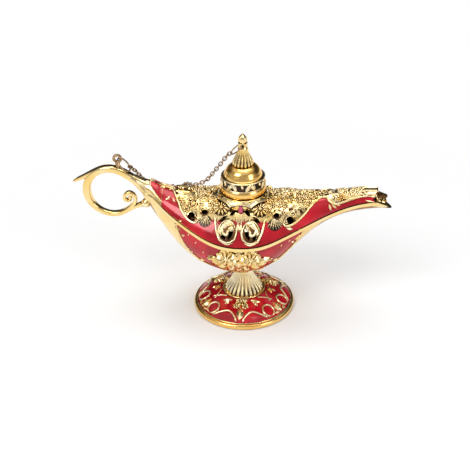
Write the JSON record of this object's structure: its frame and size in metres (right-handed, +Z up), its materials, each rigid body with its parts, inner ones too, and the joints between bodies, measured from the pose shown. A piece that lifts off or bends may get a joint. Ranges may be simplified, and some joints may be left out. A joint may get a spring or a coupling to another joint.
{
  "type": "ornamental oil lamp",
  "caption": "Footed boat-shaped ornamental oil lamp in gilt cast metal and red enamel, with a pierced cover, a long spout, a loop handle and a lift-off lid held on a chain.",
  "frame": {"origin": "centre of the foot's standing ring, on the surface it stands on", "axes": "+Z up along the axis of foot, stem and lid, +X towards the spout, -Y towards the decorated front that the picture shows"},
  "size_m": [0.2122, 0.07, 0.13],
  "materials": {
    "gold": "polished gilt casting",
    "red_enamel": "glossy translucent enamel",
    "chain_gold": "polished gilt wire",
    "screw_steel": "bright turned steel",
    "stone": "polished cast stone"
  },
  "bodies": {
    "lamp": {"foot": "gold", "foot_enamel": "red_enamel", "foot_washer": "gold", "foot_screw": "screw_steel", "stem": "gold", "bowl": "gold", "rim_band": "gold", "calyx": "gold", "bowl_flowers": "gold", "bowl_enamel": "red_enamel", "cover": "gold", "cover_scrolls": "gold", "cover_enamel": "red_enamel", "gem_drops": "stone", "collar": "gold", "handle": "gold", "handle_lug": "gold"},
    "lid": {"lid": "gold", "lid_skirt": "gold", "lid_finial": "gold", "finial_screw": "screw_steel"},
    "lid_chain": {"lid_ring": "chain_gold", "chain_front": "chain_gold", "chain_joint_ring": "chain_gold"},
    "handle_chain": {"handle_ring": "chain_gold", "chain_rear": "chain_gold"}
  },
  "joints": [
    {"name": "lid_lift", "type": "slide", "parent": "lamp", "child": "lid", "axis": [0, 0, 1], "range_m": [0, 0.0115]},
    {"name": "lid_chain_swing", "type": "hinge", "parent": "lid", "child": "lid_chain", "pos_m": [0, 0, 0.122], "axis": [0, -1, 0], "range_deg": [0, 6.4]},
    {"name": "handle_chain_swing", "type": "hinge", "parent": "lamp", "child": "handle_chain", "pos_m": [-0.0833, 0, 0.1086], "axis": [0, -1, 0], "range_deg": [0, 10.05]}
  ],
  "couplings": [
    {"joint": "lid_chain_swing", "follows": "lid_lift", "rad_per_m": 9.41},
    {"joint": "handle_chain_swing", "follows": "lid_lift", "rad_per_m": 14.95}
  ]
}
